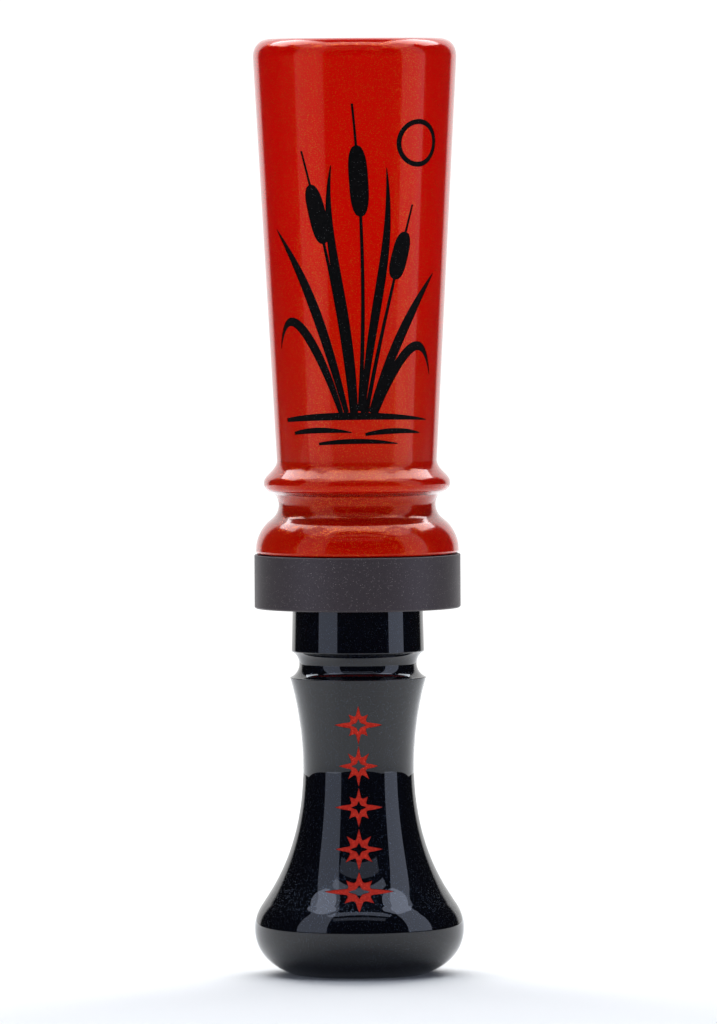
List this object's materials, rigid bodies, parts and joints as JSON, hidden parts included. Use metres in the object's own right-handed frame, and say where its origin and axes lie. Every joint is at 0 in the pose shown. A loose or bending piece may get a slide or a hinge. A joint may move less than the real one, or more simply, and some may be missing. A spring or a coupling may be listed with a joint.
{
  "type": "duck call",
  "caption": "Hand-held duck call: turned acrylic barrel with a metal band, pulled off a flared acrylic insert that holds a tone board, reeds, wedge and O-rings.",
  "frame": {"origin": "centre of the flat exhaust rim that the call stands on", "axes": "+Z along the call's axis, from the exhaust rim to the mouth; -Y is the front, where the finished call is engraved and the reeds face"},
  "size_m": [0.031, 0.031, 0.138],
  "materials": {
    "barrel_acrylic": "polished pearl acrylic",
    "band_anodised": "blasted, black anodised",
    "horn_acrylic": "polished pearl acrylic",
    "tone_board_acrylic": "machined and buffed acrylic",
    "o_ring_rubber": "satin nitrile rubber",
    "reed_film": "milky clear polyester film",
    "wedge_cork": "fine-grained natural cork",
    "engraving_black": "rough enamel in an engraved recess",
    "engraving_red": "rough enamel in an engraved recess"
  },
  "bodies": {
    "insert": {"insert_horn": "horn_acrylic", "tone_board": "tone_board_acrylic"},
    "seals": {"o_ring_lower": "o_ring_rubber", "o_ring_upper": "o_ring_rubber"},
    "barrel": {"barrel": "barrel_acrylic", "barrel_band": "band_anodised"},
    "reed_top": {"reed_top": "reed_film"},
    "reed_bottom": {"reed_bottom": "reed_film"},
    "wedge": {"wedge": "wedge_cork"}
  },
  "joints": [
    {"name": "barrel_twist", "type": "hinge", "parent": "insert", "child": "seals", "pos_m": [0, 0, 0.054], "axis": [0, 0, 1], "continuous": true},
    {"name": "barrel_pull", "type": "slide", "parent": "seals", "child": "barrel", "axis": [0, 0, 1], "range_m": [0, 0.065]},
    {"name": "reed_top_flex", "type": "hinge", "parent": "insert", "child": "reed_top", "pos_m": [0, -0.00198, 0.0775], "axis": [-1, 0, 0], "range_deg": [-1, 1.4], "stiffness_Nm_per_rad": 0.006},
    {"name": "reed_bottom_flex", "type": "hinge", "parent": "insert", "child": "reed_bottom", "pos_m": [0, -0.00143, 0.0775], "axis": [-1, 0, 0], "range_deg": [-1, 1.4], "stiffness_Nm_per_rad": 0.006},
    {"name": "wedge_draw", "type": "slide", "parent": "insert", "child": "wedge", "axis": [0, 0, 1], "range_m": [0, 0.013]}
  ],
  "couplings": [
    {"joint": "reed_bottom_flex", "follows": "reed_top_flex", "ratio": 1}
  ]
}
